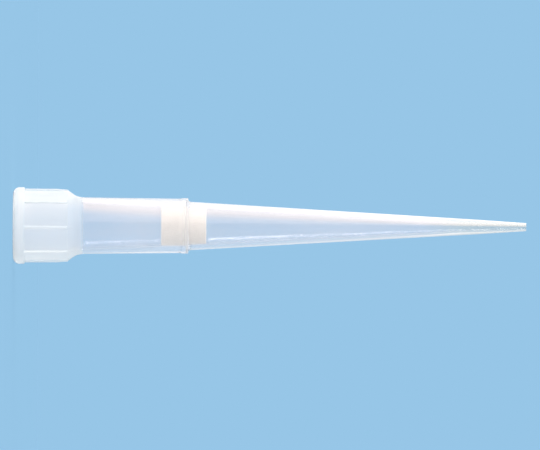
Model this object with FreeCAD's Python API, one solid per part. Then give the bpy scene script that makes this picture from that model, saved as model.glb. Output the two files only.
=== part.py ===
import FreeCAD, Part

# Filter pipette tip of the 100 microlitre size.
#
# Two pieces: a body moulded in one shot from clear polypropylene, and a plug of sintered
# polyethylene that is pressed into its bore as an aerosol filter. The body has a ribbed collar
# with a rounded rim, which a pipette's nozzle is pushed into, then a shoulder, a tube that holds
# the filter, a step, and a long cone that ends in a fine orifice.
#
# Sizes are in millimetres. The tip stands on its rim with its point up, because on its side it
# would roll. Z is its axis, and the origin is at the middle of the rim's face, on the floor.
# A place is a height above the rim's face.
import math
import os

UP = FreeCAD.Vector(0, 0, 1)
ORIGIN = FreeCAD.Vector(0, 0, 0)

# Collar: the socket for the nozzle, with its mouth and its rounded rim
collar_length = 5.5
collar_wall = 1.0
collar_draft_deg = 0.3
socket_radius = 2.5
socket_setback = 0.5
lead_in_length = 1.6
lead_in_widening = 0.25
rim_length = 1.15
rim_height = 0.325
rim_front_round = 0.65

# Ribs along the collar
rib_count = 8
rib_height = 0.19
rib_width = 0.3
rib_side_round = 0.1
rib_taper_length = 1.1
rib_taper_drop = 0.08
rib_bevel_deg = 50.0
rib_tail_height = 0.05

# Shoulder between the collar and the tube, with a wide cove, and the bore's narrowing inside it
shoulder_deg = 34.0
shoulder_cove = 2.2
throat_length = 1.6

# Tube: its bore narrows to the filter's seat, and a low ring goes round its end
tube_length = 12.0
tube_bore_radius = 2.38
tube_wall = 0.45
seat_length = 3.3
seat_radius = 2.02
seat_end_radius = 2.0
seat_end_wall = 0.72
ring_height = 0.05
ring_length = 0.5
ring_ramp = 0.4

# Step from the tube to the cone, and the narrowing inside it that stops the filter
step_height = 0.29
stop_narrowing = 0.11
stop_above_step = 0.35
stop_below_step = 0.25

# Cone, with a finer point outside, a finer bore inside and the orifice
cone_length = 33.8
point_length = 4.6
point_radius = 0.707
fine_bore_length = 7.3
fine_bore_radius = 0.42
orifice_radius = 0.23
orifice_land = 0.5
orifice_wall = 0.172

# Filter plug
plug_length = 4.5
plug_above_step = 1.8
plug_chamfer = 0.08
plug_gap = 0.01

# Places and radii that follow from the sizes above
socket_place = collar_length - socket_setback
step_place = collar_length + tube_length
tip_length = step_place + cone_length
point_place = tip_length - point_length
fine_bore_place = tip_length - fine_bore_length
seat_place = step_place - seat_length
ring_place = step_place - ring_length
stop_start = step_place - stop_below_step
stop_end = step_place + stop_above_step
collar_draft = math.tan(math.radians(collar_draft_deg))
collar_radius = socket_radius + collar_wall
collar_end_radius = collar_radius - collar_draft * (collar_length - rim_length)
rim_radius = collar_radius + rim_height
tube_radius = tube_bore_radius + tube_wall
tube_end_radius = seat_end_radius + seat_end_wall
ring_radius = tube_end_radius + ring_height
cone_radius = tube_end_radius - step_height
cone_bore_radius = seat_end_radius - stop_narrowing
shoulder_end = collar_length + (collar_end_radius - tube_radius) / math.tan(math.radians(shoulder_deg))


def outer_corners():
    """The outside's corners as (radius, place, round), from the rim to the orifice."""
    return [
        (rim_radius, 0, rim_front_round),
        (rim_radius, rim_length, 0),
        (collar_radius, rim_length, 0),
        (collar_end_radius, collar_length, 0),
        (tube_radius, shoulder_end, shoulder_cove),
        (tube_end_radius, ring_place - ring_ramp, 0),
        (ring_radius, ring_place, 0),
        (ring_radius, step_place, 0),
        (cone_radius, step_place, step_height),
        (point_radius, point_place, 0),
        (orifice_radius + orifice_wall, tip_length, 0),
    ]


def bore_corners():
    """The bore's corners as (radius, place, round), from the orifice back to the mouth."""
    return [
        (orifice_radius, tip_length, 0),
        (orifice_radius, tip_length - orifice_land, 0),
        (fine_bore_radius, fine_bore_place, 0),
        (cone_bore_radius, stop_end, 0),
        (seat_end_radius, stop_start, 0),
        (seat_radius, seat_place, 0),
        (tube_bore_radius, socket_place + throat_length, 0),
        (socket_radius, socket_place, 0),
        (socket_radius, lead_in_length, 0),
        (socket_radius + lead_in_widening, 0, 0),
    ]


def bore_radius_at(place):
    """The bore's radius at a place between two of its corners."""
    corners = bore_corners()
    for (high_radius, high, _), (low_radius, low, _) in zip(corners, corners[1:]):
        if low <= place <= high:
            return low_radius + (high_radius - low_radius) * (place - low) / (high - low)
    raise ValueError(f"the bore has no wall at {place}")


def outline(corners):
    """A closed wire through corners of (radius, place, round), rounded by tangent arcs."""
    points = [FreeCAD.Vector(radius, 0, place) for radius, place, _ in corners]
    ends = []
    edges = []
    for number, (_, _, corner_round) in enumerate(corners):
        corner = points[number]
        if corner_round == 0:
            ends.append((corner, corner))
            continue
        back = (points[number - 1] - corner).normalize()
        ahead = (points[(number + 1) % len(points)] - corner).normalize()
        half_angle = back.getAngle(ahead) / 2
        reach = corner_round / math.tan(half_angle)
        depth = corner_round / math.sin(half_angle) - corner_round
        start = corner + back * reach
        finish = corner + ahead * reach
        middle = corner + (back + ahead).normalize() * depth
        edges.append(Part.Arc(start, middle, finish).toShape())
        ends.append((start, finish))
    for (_, finish), (start, _) in zip(ends, ends[1:] + ends[:1]):
        edges.append(Part.LineSegment(finish, start).toShape())
    return Part.Wire(Part.sortEdges(edges)[0])


def turned(corners):
    """The solid that a closed outline sweeps about Z."""
    return Part.Face(outline(corners)).revolve(ORIGIN, UP, 360)


def rib():
    """One rib on the +X side, from inside the rim, along the collar and thinly down the shoulder."""
    root = collar_radius - collar_wall / 2
    low = rim_length / 2
    end_height = rib_height - rib_taper_drop
    bevel_length = (end_height - rib_tail_height) / math.tan(math.radians(rib_bevel_deg))
    side = [
        (root, low),
        (collar_radius + rib_height, low),
        (collar_end_radius + rib_height, collar_length - rib_taper_length),
        (collar_end_radius + end_height, collar_length - bevel_length),
        (collar_end_radius + rib_tail_height, collar_length),
        (tube_radius, shoulder_end),
        (tube_radius - tube_wall / 2, shoulder_end),
        (root, collar_length),
    ]
    points = [FreeCAD.Vector(radius, -rib_width / 2, place) for radius, place in side]
    plate = Part.Face(Part.makePolygon(points + points[:1])).extrude(FreeCAD.Vector(0, rib_width, 0))
    crest = [
        edge
        for edge in plate.Edges
        if min(edge.BoundBox.ZLength, edge.BoundBox.XMax - collar_end_radius) > 1e-6 > edge.BoundBox.YLength
    ]
    return plate.makeFillet(rib_side_round, crest)


def tip_body():
    """The moulded body: one turned solid, with the ribs joined to its collar."""
    ribs = [rib() for _ in range(rib_count)]
    for number, one in enumerate(ribs):
        one.rotate(ORIGIN, UP, 360 / rib_count * number)
    return turned(outer_corners() + bore_corners()).fuse(ribs).removeSplitter().Solids[0]


def filter_plug():
    """The filter: a cylinder squeezed to the bore's form, with its edges broken."""
    high = step_place + plug_above_step
    low = high - plug_length
    skin_low = low + plug_chamfer
    skin_high = high - plug_chamfer
    bends = [place for _, place, _ in reversed(bore_corners()) if skin_low < place < skin_high]
    skin = [(bore_radius_at(place) - plug_gap, place, 0) for place in (skin_low, *bends, skin_high)]
    return turned([
        (0, low, 0),
        (bore_radius_at(low) - plug_gap - plug_chamfer, low, 0),
        *skin,
        (bore_radius_at(high) - plug_gap - plug_chamfer, high, 0),
        (0, high, 0),
    ])


os.makedirs("parts", exist_ok=True)
for name, shape in (("tip_body", tip_body()), ("filter_plug", filter_plug())):
    shape.exportStep(f"parts/{name}.step")
    print(name, "valid" if shape.isValid() else "not valid", round(shape.Volume, 2), "mm3")
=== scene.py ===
import math

import bmesh
import bpy
from mathutils import Matrix, Vector

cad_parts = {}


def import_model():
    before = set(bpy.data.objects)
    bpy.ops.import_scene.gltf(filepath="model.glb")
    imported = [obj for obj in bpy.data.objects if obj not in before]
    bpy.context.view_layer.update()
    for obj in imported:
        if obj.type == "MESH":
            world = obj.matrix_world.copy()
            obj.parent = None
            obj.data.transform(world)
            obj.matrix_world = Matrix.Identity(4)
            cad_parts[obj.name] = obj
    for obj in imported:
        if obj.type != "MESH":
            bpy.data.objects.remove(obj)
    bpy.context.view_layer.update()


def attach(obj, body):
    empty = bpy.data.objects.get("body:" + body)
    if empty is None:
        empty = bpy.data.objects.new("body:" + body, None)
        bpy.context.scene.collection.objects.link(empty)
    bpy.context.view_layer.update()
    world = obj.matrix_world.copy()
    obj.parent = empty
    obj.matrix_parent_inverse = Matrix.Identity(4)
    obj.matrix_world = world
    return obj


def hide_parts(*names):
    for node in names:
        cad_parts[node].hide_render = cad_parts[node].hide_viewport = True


# A filter pipette tip of the 100 microlitre size, standing on its rim with its point up: a clear moulded
# body with a porous filter plug in its bore. Sizes are in millimetres, and a mesh is made in metres.
MM = 0.001

# Sizes of the tip, the same as the part's
RIM_RADIUS, RIM_LENGTH = 3.825, 1.15
COLLAR_RADIUS, COLLAR_END_RADIUS, COLLAR_END = 3.5, 3.4772, 5.5
TUBE_RADIUS, SHOULDER_END, SHOULDER_COVE = 2.83, 6.4596, 2.2
RING_RADIUS, STEP, STEP_COVE = 2.77, 17.5, 0.29
STOP_START, STOP_END = 17.25, 17.85
ORIFICE_RADIUS, LENGTH = 0.23, 51.3
# Corners of the outside and of the bore as (radius, height, round)
OUTSIDE = [
    (RIM_RADIUS, 0, 0.65),
    (RIM_RADIUS, RIM_LENGTH, 0.1),
    (COLLAR_RADIUS, RIM_LENGTH, 0),
    (COLLAR_END_RADIUS, COLLAR_END, 0),
    (TUBE_RADIUS, SHOULDER_END, SHOULDER_COVE),
    (2.72, 16.6, 0),
    (RING_RADIUS, 17.0, 0),
    (RING_RADIUS, STEP, 0.04),
    (2.43, STEP, STEP_COVE),
    (0.707, 46.7, 0),
    (0.402, LENGTH, 0.03),
]
BORE = [
    (ORIFICE_RADIUS, LENGTH, 0.03),
    (ORIFICE_RADIUS, 50.8, 0),
    (0.42, 44.0, 0),
    (1.89, STOP_END, 0),
    (2.0, STOP_START, 0),
    (2.02, 14.2, 0),
    (2.38, 6.6, 0),
    (2.5, 5.0, 0),
    (2.5, 1.6, 0),
    (2.75, 0, 0.12),
]
PLUG_LOW, PLUG_HIGH, PLUG_CHAMFER, PLUG_GAP = 14.8, 19.3, 0.08, 0.01

# Ribs on the collar, with their crest's line as (height, radius)
RIBS, RIB_WIDTH, RIB_ROUND = 8, 0.3, 0.1
RIB_TAPER_START, RIB_BEVEL_START = 4.4, 5.45
RIB_CREST = [
    (0, COLLAR_RADIUS + 0.19),
    (RIB_TAPER_START, COLLAR_END_RADIUS + 0.19),
    (RIB_BEVEL_START, COLLAR_END_RADIUS + 0.11),
    (COLLAR_END, COLLAR_END_RADIUS + 0.05),
    (SHOULDER_END, TUBE_RADIUS),
]

# Radii that tell where a place on the skin is: outside the bore's mouth, inside the rim's edge, and wider
# than the cone
OUTSIDE_FROM, RIM_FROM, TUBE_FROM = 2.8, 3.72, 2.6

# Steps of the meshes, and the angles of edges that stay sharp
ARC_STEP_DEG, LEAST_ARC_STEPS = 7, 3
SUPPORT = 0.04
RIB_ROUND_DEGS = (18, 36, 54, 72, 90)
RIB_SIDE_STEPS = (0.006, 0.04, 0.1)
STEPS_BETWEEN_RIBS = 18
RIB_ROWS = [RIB_TAPER_START, 5.42, RIB_BEVEL_START, 5.6, 5.7, 5.8, 5.9, 6.0, 6.1, 6.2, 6.3, 6.4]
PLUG_COLUMNS, FLOOR_COLUMNS = 160, 96
BODY_SHARP_DEG, PLUG_SHARP_DEG = 24, 30
NEAR, ROW_GAP = 1e-6, 1e-4

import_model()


# ---------------------------------------------------------------- shapes

def rounded(outline):
    """An outline's points as (radius, height), with rounds as arcs and a point near each end of a run."""
    flat = [Vector((radius, height)) for radius, height, _ in outline]
    points = []
    for number, (_, _, corner_round) in enumerate(outline):
        corner = flat[number]
        if corner_round == 0:
            points.append([corner])
            continue
        back = (flat[number - 1] - corner).normalized()
        ahead = (flat[(number + 1) % len(flat)] - corner).normalized()
        half = back.angle(ahead) / 2
        start = corner + back * corner_round / math.tan(half)
        finish = corner + ahead * corner_round / math.tan(half)
        centre = corner + (back + ahead).normalized() * corner_round / math.sin(half)
        sweep = math.pi - 2 * half
        steps = max(LEAST_ARC_STEPS, round(math.degrees(sweep) / ARC_STEP_DEG))
        a, b = start - centre, finish - centre
        points.append([
            centre + (a * math.sin((1 - share) * sweep) + b * math.sin(share * sweep)) / math.sin(sweep)
            for share in (k / steps for k in range(steps + 1))
        ])
    result = []
    for arc, following in zip(points, points[1:] + points[:1]):
        result += arc
        run = following[0] - arc[-1]
        if run.length > 5 * SUPPORT:
            result.append(arc[-1] + run.normalized() * SUPPORT)
            result.append(following[0] - run.normalized() * SUPPORT)
    return [tuple(point) for point in result]


def radius_at(height, line):
    """The radius at a height of a broken line of (height, radius), or None beyond its ends."""
    for (low, low_radius), (high, high_radius) in zip(line, line[1:]):
        if low <= height <= high:
            return low_radius + (high_radius - low_radius) * (height - low) / (high - low)
    return None


def bore_at(height):
    return radius_at(height, sorted((h, r) for r, h, _ in BORE))


def rib_columns():
    """Angles round the tip as (angle, distance from a rib's middle), close together over each rib."""
    half_crest = RIB_WIDTH / 2 - RIB_ROUND
    distances = [0, half_crest / 2, half_crest]
    distances += [half_crest + RIB_ROUND * math.sin(math.radians(degrees)) for degrees in RIB_ROUND_DEGS]
    distances += [RIB_WIDTH / 2 + step for step in RIB_SIDE_STEPS]
    half_pitch = math.pi / RIBS
    over_rib = [(math.asin(distance / COLLAR_RADIUS), distance) for distance in distances]
    foot = over_rib[-1][0]
    between = [
        (foot + (half_pitch - foot) * k / STEPS_BETWEEN_RIBS, None)
        for k in range(1, STEPS_BETWEEN_RIBS)
    ]
    side = over_rib + between
    columns = []
    for number in range(RIBS):
        middle = 2 * math.pi / RIBS * number
        columns += [(middle + angle, distance) for angle, distance in side]
        columns.append((middle + half_pitch, None))
        columns += [(middle + 2 * half_pitch - angle, distance) for angle, distance in reversed(side[1:])]
    return columns


def rib_radius(height, distance):
    """How far out a rib reaches at a height and a distance from its middle, or 0 beside it."""
    # a rib's foot is on the rim's back face, so nothing of it stands under the rim
    if distance is None or distance > RIB_WIDTH / 2 + NEAR or height < RIM_LENGTH - NEAR:
        return 0
    crest = radius_at(height, RIB_CREST)
    if crest is None:
        return 0
    into_round = max(0, distance - (RIB_WIDTH / 2 - RIB_ROUND))
    return crest - RIB_ROUND + math.sqrt(max(0, RIB_ROUND ** 2 - into_round ** 2))


def with_rib_rows(rows):
    """Rows for the ribs' ends and down the shoulder, put in where the outside passes them."""
    result = []
    for (radius, height), (next_radius, next_height) in zip(rows, rows[1:] + rows[:1]):
        result.append((radius, height))
        if next_height > height and min(radius, next_radius) > TUBE_FROM:
            for place in RIB_ROWS:
                if height + ROW_GAP < place < next_height - ROW_GAP:
                    share = (place - height) / (next_height - height)
                    result.append((radius + (next_radius - radius) * share, place))
    return result


def point_at(bm, radius, angle, height):
    return bm.verts.new(Vector((radius * math.cos(angle), radius * math.sin(angle), height)) * MM)


def circle(bm, radius, height, count):
    """A ring of points round the tip's axis."""
    return [point_at(bm, radius, 2 * math.pi * k / count, height) for k in range(count)]


def join(bm, rings, closed):
    """Faces between each ring of points and the next, and from the last to the first where it is closed."""
    for ring, following in zip(rings, rings[1:] + rings[:1] if closed else rings[1:]):
        for k in range(len(ring)):
            after = (k + 1) % len(ring)
            bm.faces.new((ring[k], ring[after], following[after], following[k]))


def linked(name, data):
    obj = bpy.data.objects.new(name, data)
    bpy.context.scene.collection.objects.link(obj)
    return obj


def mesh_from(name, bm):
    mesh = bpy.data.meshes.new(name)
    bm.to_mesh(mesh)
    bm.free()
    return mesh


def smooth_object(name, bm, sharp_deg):
    """An object from a closed mesh, smooth but for its edges that are sharper than an angle."""
    bmesh.ops.recalc_face_normals(bm, faces=bm.faces)
    mesh = mesh_from(name, bm)
    mesh.shade_smooth()
    mesh.set_sharp_from_angle(angle=math.radians(sharp_deg))
    return linked(name, mesh)


def tip_body():
    """The body: one closed skin that goes up the outside and back down the bore."""
    columns = rib_columns()
    bm = bmesh.new()
    rings = []
    for radius, height in with_rib_rows(rounded(OUTSIDE + BORE)):
        ribbed = OUTSIDE_FROM < radius < RIM_FROM and height < SHOULDER_END
        rings.append([
            point_at(bm, max(radius, rib_radius(height, distance)) if ribbed else radius, angle, height)
            for angle, distance in columns
        ])
    join(bm, rings, closed=True)
    obj = smooth_object("tip_body_skin", bm, BODY_SHARP_DEG)
    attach(obj, "root")
    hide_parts("tip_body")
    return obj


def filter_plug():
    """The filter: a cylinder that follows the bore, with its edges broken."""
    skin_heights = [PLUG_LOW + PLUG_CHAMFER, STOP_START, STOP_END, PLUG_HIGH - PLUG_CHAMFER]
    rows = [(bore_at(PLUG_LOW) - PLUG_GAP - PLUG_CHAMFER, PLUG_LOW)]
    rows += [(bore_at(height) - PLUG_GAP, height) for height in skin_heights]
    rows += [(bore_at(PLUG_HIGH) - PLUG_GAP - PLUG_CHAMFER, PLUG_HIGH)]
    bm = bmesh.new()
    rings = [circle(bm, radius, height, PLUG_COLUMNS) for radius, height in rows]
    join(bm, rings, closed=False)
    bm.faces.new(rings[0])
    bm.faces.new(rings[-1])
    obj = smooth_object("filter_plug_block", bm, PLUG_SHARP_DEG)
    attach(obj, "root")
    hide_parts("filter_plug")
    return obj


# ---------------------------------------------------------------- materials

def srgb(red, green, blue):
    """A colour of 0 to 255 in the linear values that a material takes."""
    def linear(channel):
        channel /= 255
        return channel / 12.92 if channel <= 0.04045 else ((channel + 0.055) / 1.055) ** 2.4
    return linear(red), linear(green), linear(blue)


class Graph:
    """Short forms for building a node tree. A node that is given as a value stands for its first output."""

    def __init__(self, tree):
        self.nodes, self.links = tree.nodes, tree.links
        self.nodes.clear()

    def add(self, kind, **settings):
        """A node with its settings. A name in small letters sets a property, any other name sets the input
        of that name, and _ with a number sets the input of that number."""
        node = self.nodes.new(kind)
        for name, value in settings.items():
            if name[0].islower():
                setattr(node, name, value)
            else:
                key = int(name[1:]) if name[0] == "_" else name.replace("_", " ")
                self.fill(node.inputs[key], value)
        return node

    def fill(self, socket, value):
        if isinstance(value, bpy.types.Node):
            value = value.outputs[0]
        if isinstance(value, bpy.types.NodeSocket):
            self.links.new(value, socket)
        else:
            socket.default_value = (*value, 1) if socket.type == "RGBA" else value

    def math(self, operation, *values, clamp=False):
        inputs = {f"_{number}": value for number, value in enumerate(values)}
        return self.add("ShaderNodeMath", operation=operation, use_clamp=clamp, **inputs).outputs[0]

    def product(self, first, *others):
        for other in others:
            first = self.math("MULTIPLY", first, other)
        return first

    def rest(self, share):
        """What a share leaves of 1."""
        return self.math("SUBTRACT", 1.0, share)

    def fade(self, value, low, high, at_low=0.0, at_high=1.0, smooth=True):
        """From one value to another as an input goes from low to high."""
        return self.add(
            "ShaderNodeMapRange", interpolation_type="SMOOTHSTEP" if smooth else "LINEAR",
            Value=value, From_Min=low, From_Max=high, To_Min=at_low, To_Max=at_high).outputs["Result"]

    def noise(self, place, scale, detail, stretch=(1, 1, 1)):
        """Noise between 0 and 1 at places in metres, stretched along an axis where its factor is under 1."""
        mapping = self.add("ShaderNodeMapping", Vector=place, Scale=stretch)
        noise = self.add("ShaderNodeTexNoise", Vector=mapping, Scale=scale, Detail=detail, Roughness=0.5)
        return noise.outputs[0]

    def spread(self, noise, at_low, at_high):
        """A noise's values, taken evenly to a range of other values."""
        return self.fade(noise, NOISE_LOW, NOISE_HIGH, at_low, at_high, smooth=False)

    def mix(self, share, first, second):
        """A colour between two others."""
        return self.add("ShaderNodeMix", data_type="RGBA", _0=share, _6=first, _7=second).outputs[2]

    def blend(self, share, first, second):
        """A shader between two others."""
        return self.add("ShaderNodeMixShader", _0=share, _1=first, _2=second)

    def ramp(self, share, stops):
        """A colour ramp through stops of (place from 0 to 1, colour)."""
        node = self.add("ShaderNodeValToRGB", Fac=share)
        elements = node.color_ramp.elements
        while len(elements) < len(stops):
            elements.new(0.5)
        for element, (place, colour) in zip(elements, stops):
            element.position = place
            element.color = (*colour, 1)
        return node.outputs["Color"]


def new_material(name):
    mat = bpy.data.materials.new(name)
    mat.use_nodes = True
    return mat, Graph(mat.node_tree)


# Share of the light that the plastic scatters as it enters, by height: more in the frosted collar, and a
# little more under the step, where the wall is thick
HAZE = [
    (0, 0.5), (1.1, 0.5), (1.25, 0.37), (5.4, 0.37), (5.8, 0.31), (6.75, 0.25), (7.05, 0.135),
    (10, 0.165), (13, 0.22), (16.9, 0.17), (17.15, 0.3), (17.45, 0.3), (17.52, 0.155),
    (26, 0.18), (32, 0.19), (38, 0.18), (52, 0.18),
]
# Added where the wall is seen along its length, by height, and on the crests of the ribs
EDGE_HAZE = [(0, 0.2), (7, 0.2), (17.3, 0.25), (17.6, 0.4), (30, 0.6), (40, 0.85), (52, 0.85)]
CREST_HAZE, FLOW_HAZE = 0.16, 0.03
# Where each look begins and where it is full: a height, a radius or a distance in metres, or a facing
FROST_HEIGHTS, FROST_RADII = (7.1 * MM, 6.75 * MM), (2.6 * MM, 2.7 * MM)
CREST_HEIGHTS, CREST_RADII = (1.2 * MM, 1.3 * MM), (3.55 * MM, 3.6 * MM)
EDGE_FACINGS = (0.45, 0.85)
STEP_FACINGS, STEP_DISTANCES = (0.2, 0.6), (0.3 * MM, 0.2 * MM)
POINT_EDGE_HEIGHTS, POINT_SHADE_HEIGHTS = (18 * MM, 46 * MM), (40 * MM, 46 * MM)
# How much sooner an edge is milky at the point
POINT_EDGE = 0.32
# The last colour is painted shade, which darkens and yellows the plastic towards the point
CLEAR_TINT, FROST_TINT, POINT_SHADE = (0.994, 0.96, 0.974), (0.967, 0.98, 0.982), (0.94, 0.925, 0.9)
PLASTIC_IOR, CLEAR_ROUGHNESS = 1.49, 0.04
FROST_SMOOTHEST, FROST_ROUGHEST = 0.31, 0.41
PLUG_LIGHT, PLUG_DARK, PLUG_ROUGHNESS = (0.965, 0.945, 0.865), (0.935, 0.9, 0.8), 0.9
# Painted shade: a bead darkens towards the pores between these distances from its middle; the share of that
# shade and of the random mottling in the plug's colour
BEAD_SHADE, BEAD_SHADE_SHARE, MOTTLE_SHARE = (0.2, 0.75), 0.5, 0.5
# Scales of the noises, per metre, and the values between which most of a noise lies
STREAKS, MATT_TEXTURE, BEADS, MOTTLE = 900, 11000, 8000, 2500
NOISE_LOW, NOISE_HIGH = 0.3, 0.7


def by_height(g, z, table):
    """A grey value that follows a table of (height, value)."""
    stops = [(min(height / LENGTH, 1.0), (value, value, value)) for height, value in table]
    return g.ramp(g.math("DIVIDE", z, LENGTH * MM), stops)


def polypropylene():
    """Clear plastic with a little haze, frosted on the collar, milky where the wall is seen edge on, and with
    painted shade that darkens it towards the point.
    """
    mat, g = new_material("clear_polypropylene")
    coordinates = g.add("ShaderNodeTexCoord").outputs
    place = coordinates["Object"]
    x, y, z = g.add("ShaderNodeSeparateXYZ", _0=place).outputs
    facing_x, facing_y, facing_z = g.add("ShaderNodeSeparateXYZ", _0=coordinates["Normal"]).outputs

    def radial(along_x, along_y):
        return g.math("ADD", g.product(x, along_x), g.product(y, along_y))

    radius = g.math("SQRT", radial(x, y))
    outward = g.math("GREATER_THAN", radial(facing_x, facing_y), 0.0)
    frosted = g.product(g.fade(z, *FROST_HEIGHTS), g.fade(radius, *FROST_RADII))

    # the melt's flow leaves faint streaks along the tip, and the frosted collar has a fine matt texture
    flow = g.spread(g.noise(place, STREAKS, 2, stretch=(1, 1, 0.12)), -FLOW_HAZE, FLOW_HAZE)
    texture = g.noise(place, MATT_TEXTURE, 1)
    frost_roughness = g.spread(texture, FROST_SMOOTHEST, FROST_ROUGHEST)
    roughness = g.math("ADD", g.product(frosted, frost_roughness), CLEAR_ROUGHNESS)
    matt = g.add("ShaderNodeBump", Height=g.product(texture, frosted), Strength=0.25, Distance=0.02 * MM)
    colour = g.mix(frosted, CLEAR_TINT, FROST_TINT)
    # painted shade: the colour darkens towards the point
    colour = g.mix(g.fade(z, *POINT_SHADE_HEIGHTS), colour, POINT_SHADE)

    # the milky edge takes up more of the narrow point, and is left out on the face of the step
    facing = g.add("ShaderNodeLayerWeight", Blend=0.5).outputs["Facing"]
    grazing = g.math("ADD", facing, g.fade(z, *POINT_EDGE_HEIGHTS, 0.0, POINT_EDGE, smooth=False))
    from_step = g.math("ABSOLUTE", g.math("SUBTRACT", z, (STEP + STEP_COVE / 2) * MM))
    level = g.fade(g.math("ABSOLUTE", facing_z), *STEP_FACINGS)
    step = g.product(level, g.fade(from_step, *STEP_DISTANCES))
    milky = g.fade(grazing, *EDGE_FACINGS)
    edge = g.product(milky, by_height(g, z, EDGE_HAZE), outward, g.rest(step))
    crest = g.product(g.fade(radius, *CREST_RADII), g.fade(z, *CREST_HEIGHTS), CREST_HAZE)

    haze = g.math("ADD", g.math("ADD", by_height(g, z, HAZE), flow), edge, clamp=True)
    haze = g.math("ADD", haze, crest, clamp=True)
    haze = g.product(haze, g.rest(g.add("ShaderNodeNewGeometry").outputs["Backfacing"]))
    g.add("ShaderNodeOutputMaterial", Surface=g.add(
        "ShaderNodeBsdfPrincipled", Base_Color=colour, IOR=PLASTIC_IOR, Roughness=roughness, Normal=matt,
        Transmission_Weight=g.rest(haze)))
    return mat


def porous_polyethylene():
    """Sintered beads of about 0.12 mm with pores between them, each bead darkened towards the pores by
    painted shade, and the tone mottled at random.
    """
    mat, g = new_material("porous_polyethylene")
    place = g.add("ShaderNodeTexCoord").outputs["Object"]
    beads = g.add("ShaderNodeTexVoronoi", Vector=place, Scale=BEADS)
    # painted shade in the pores: darker towards each bead's edge; the same value is the pores' bump
    pore_depth_and_shade = g.fade(beads.outputs["Distance"], *BEAD_SHADE)
    mottle = g.spread(g.noise(place, MOTTLE, 3), 0.0, MOTTLE_SHARE)
    colour = g.mix(g.math("ADD", g.product(pore_depth_and_shade, BEAD_SHADE_SHARE), mottle), PLUG_LIGHT, PLUG_DARK)
    pores = g.add("ShaderNodeBump", invert=True, Height=pore_depth_and_shade, Strength=0.4, Distance=0.03 * MM)
    g.add("ShaderNodeOutputMaterial", Surface=g.add(
        "ShaderNodeBsdfPrincipled", Base_Color=colour, Roughness=PLUG_ROUGHNESS, Normal=pores))
    return mat


tip_body().data.materials.append(polypropylene())
filter_plug().data.materials.append(porous_polyethylene())


# ---------------------------------------------------------------- studio

# Picture directions: the tip's axis runs to the picture's right, and the picture's top is UP
TURN = math.radians(3.3)
BACK = Vector((-math.sin(TURN), -math.cos(TURN), 0))
UP = Vector((-math.cos(TURN), math.sin(TURN), 0))
ALONG = Vector((0, 0, 1))

BLUE = srgb(151, 198, 231)
# The floor's colour for the camera, which makes the lit floor meet the backdrop, and for other rays
FLOOR_BLUE = tuple(channel * level for channel, level in zip(BLUE, (1.043, 0.981, 0.929)))
FLOOR_PALE = (0.84, 0.86, 0.88)
FLOOR_REACH, FLOOR_FADE, FLOOR_GLOW = 160, (40 * MM, 150 * MM), 0.6

# Light from round the tip: degrees from straight behind it, where 90 is the picture's top, and a colour
DOME = [
    (-180, (0.9, 0.9, 0.9)), (-120, (0.87, 0.91, 0.92)), (-95, (0.87, 0.93, 0.97)), (-72, (0.74, 0.85, 0.95)),
    (-50, (0.56, 0.72, 0.88)), (-5, (0.44, 0.65, 0.84)), (1, (1.06, 1.06, 1.06)), (50, (1.1, 1.1, 1.1)),
    (61, (1.15, 1.15, 1.15)), (66, (1.0, 1.0, 1.0)), (74, (0.87, 0.88, 0.89)), (84, (1.58, 1.55, 1.53)),
    (118, (1.58, 1.55, 1.53)), (122, (1.5, 1.48, 1.46)), (161, (1.5, 1.48, 1.46)), (163, (0.9, 0.9, 0.9)),
    (180, (0.9, 0.9, 0.9)),
]
# How much brighter the dome is to the upper right and lower left, and darker to the other two sides
DOME_LEAN = 0.9
# What shows through the clear plastic: the backdrop, and above it a white panel with a soft lower edge
PANEL = [
    (-180, BLUE), (0, BLUE), (1.5, (0.35, 0.585, 0.81)), (3, (0.40, 0.62, 0.82)), (4, (0.43, 0.635, 0.82)),
    (5.3, (0.53, 0.68, 0.82)), (7, (0.62, 0.73, 0.82)), (9, (0.73, 0.78, 0.83)), (12.4, (0.84, 0.86, 0.87)),
    (18, (1.0, 1.0, 1.0)), (29, (1.12, 1.12, 1.12)), (36, (1.4, 1.4, 1.4)), (50, (1.4, 1.4, 1.4)),
    (62, BLUE), (180, BLUE),
]
# The panel is seen by rays that stay about square to the tip, and fades out between these slopes along it
PANEL_FULL_SLOPE, PANEL_END_SLOPE = 0.2, 0.4
# A ramp's colours stop at 1, so the two tables above are halved in it and doubled in the light
RAMP_SCALE = 2.0
# Long strips of light over the tip that show in the bore's far wall: degrees and half width round the tip,
# lowest and highest slope along it, and radiance
STRIPS = [(80, 4.5, -0.05, 0.3, 8.2), (81, 10.5, -0.3, -0.05, 8.0)]
# A ray that has passed more clear surfaces than this has been inside the wall
SURFACES_PASSED = 2.5

# The camera looks from far off at a point in the tip's middle, a little above its axis
FOCUS = Vector((0, 0, 0.02568)) + UP * 0.000185
LENS_MM, SENSOR_MM, WIDTH_SHOWN = 1000, 36, 0.054
CAMERA_LEAN = math.radians(0.195)


def straight_through(g, path):
    """1 for a ray that has met nothing but clear surfaces on its way from the camera."""
    bounces = g.math("ADD", path["Diffuse Depth"], path["Glossy Depth"])
    return g.math("LESS_THAN", bounces, 0.5)


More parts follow.
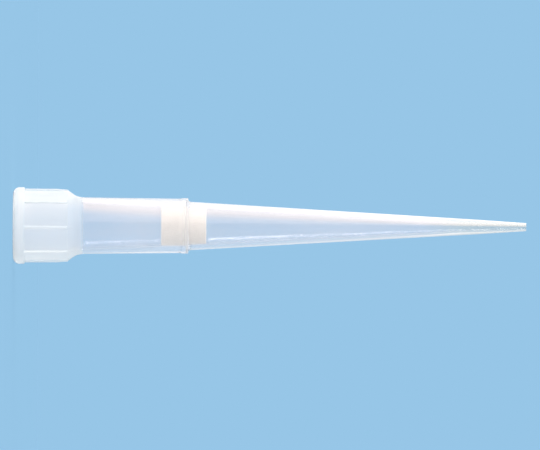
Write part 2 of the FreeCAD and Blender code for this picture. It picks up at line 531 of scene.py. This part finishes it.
def floor():
    """A round floor that meets the backdrop and keeps the tip's shadow. It fades out for other rays."""
    bm = bmesh.new()
    bm.faces.new(circle(bm, FLOOR_REACH, 0, FLOOR_COLUMNS))
    mesh = mesh_from("floor", bm)
    obj = linked("floor", mesh)
    mat, g = new_material("floor")
    place = g.add("ShaderNodeTexCoord").outputs["Object"]
    radius = g.add("ShaderNodeVectorMath", operation="LENGTH", _0=place).outputs["Value"]
    path = g.add("ShaderNodeLightPath").outputs
    through_plastic = g.product(path["Is Transmission Ray"], straight_through(g, path))
    seen = g.math("MAXIMUM", path["Is Camera Ray"], through_plastic)
    lit = g.add("ShaderNodeBsdfDiffuse", Color=g.mix(seen, FLOOR_PALE, FLOOR_BLUE))
    glow = g.add("ShaderNodeEmission", Color=BLUE, Strength=1.0)
    surface = g.blend(g.product(seen, FLOOR_GLOW), lit, glow)
    fading = g.product(g.fade(radius, *FLOOR_FADE), g.rest(seen))
    clear = g.add("ShaderNodeBsdfTransparent")
    g.add("ShaderNodeOutputMaterial", Surface=g.blend(fading, surface, clear))
    mesh.materials.append(mat)


def world():
    """Light from all round, with a plain backdrop for the camera and a panel behind the clear plastic."""
    made = bpy.data.worlds.new("studio")
    bpy.context.scene.world = made
    made.use_nodes = True
    g = Graph(made.node_tree)
    way = g.add("ShaderNodeTexCoord").outputs["Generated"]
    path = g.add("ShaderNodeLightPath").outputs

    def towards(axis):
        return g.add("ShaderNodeVectorMath", operation="DOT_PRODUCT", _0=way, _1=axis).outputs["Value"]

    def background(colour, strength):
        return g.add("ShaderNodeBackground", Color=colour, Strength=strength)

    def round_ramp(table):
        stops = [
            (degrees / 360 + 0.5, tuple(channel / RAMP_SCALE for channel in colour))
            for degrees, colour in table
        ]
        return g.ramp(share, stops)

    turn = g.math("ARCTAN2", towards(UP), towards(-BACK))
    share = g.math("ADD", g.math("DIVIDE", turn, 2 * math.pi), 0.5)
    slope = towards(ALONG)
    # a ray that has been inside the wall sees the strips, and the dome at half its strength
    deep = g.math("GREATER_THAN", path["Transmission Depth"], SURFACES_PASSED)
    inside = g.product(deep, g.math("LESS_THAN", path["Diffuse Depth"], 0.5))
    dome_strength = g.fade(inside, 0.0, 1.0, RAMP_SCALE, RAMP_SCALE / 2)
    lean = g.math("ADD", g.product(towards(UP), slope, DOME_LEAN), 1.0)
    dome = background(round_ramp(DOME), g.product(dome_strength, lean))
    strips = 0.0
    for degrees, half_width, low, high, radiance in STRIPS:
        across = g.math("COMPARE", turn, math.radians(degrees), math.radians(half_width))
        lengthwise = g.math("COMPARE", slope, (low + high) / 2, (high - low) / 2)
        strips = g.math("ADD", strips, g.product(across, lengthwise, radiance))
    light = g.add("ShaderNodeAddShader", _0=dome, _1=background((1, 1, 1), g.product(strips, inside)))
    plain = background(BLUE, 1.0)
    panel = background(round_ramp(PANEL), RAMP_SCALE)
    panel_share = g.fade(g.math("ABSOLUTE", slope), PANEL_FULL_SLOPE, PANEL_END_SLOPE, 1.0, 0.0)
    behind = g.blend(panel_share, plain, panel)
    through = g.blend(straight_through(g, path), light, behind)
    g.add("ShaderNodeOutputWorld", Surface=g.blend(path["Is Camera Ray"], through, plain))


def camera():
    data = bpy.data.cameras.new("camera")
    obj = linked("camera", data)
    data.sensor_width = SENSOR_MM
    data.lens = LENS_MM
    data.clip_end = 20
    distance = WIDTH_SHOWN * LENS_MM / SENSOR_MM
    right = ALONG * math.cos(CAMERA_LEAN) + UP * math.sin(CAMERA_LEAN)
    up = UP * math.cos(CAMERA_LEAN) - ALONG * math.sin(CAMERA_LEAN)
    placed = Matrix((right, up, BACK)).transposed().to_4x4()
    placed.translation = FOCUS + BACK * distance
    obj.matrix_world = placed
    bpy.context.scene.camera = obj


floor()
world()
camera()
bpy.context.scene.view_settings.view_transform = "Standard"
# The plug is lit only through the clear wall, so light through glass isn't blurred after a bounce
bpy.context.scene.cycles.blur_glossy = 0
# Light caught in the wall takes many total reflections before it comes out
bpy.context.scene.cycles.max_bounces = 24
bpy.context.scene.cycles.glossy_bounces = 16
bpy.context.scene.cycles.transmission_bounces = 24
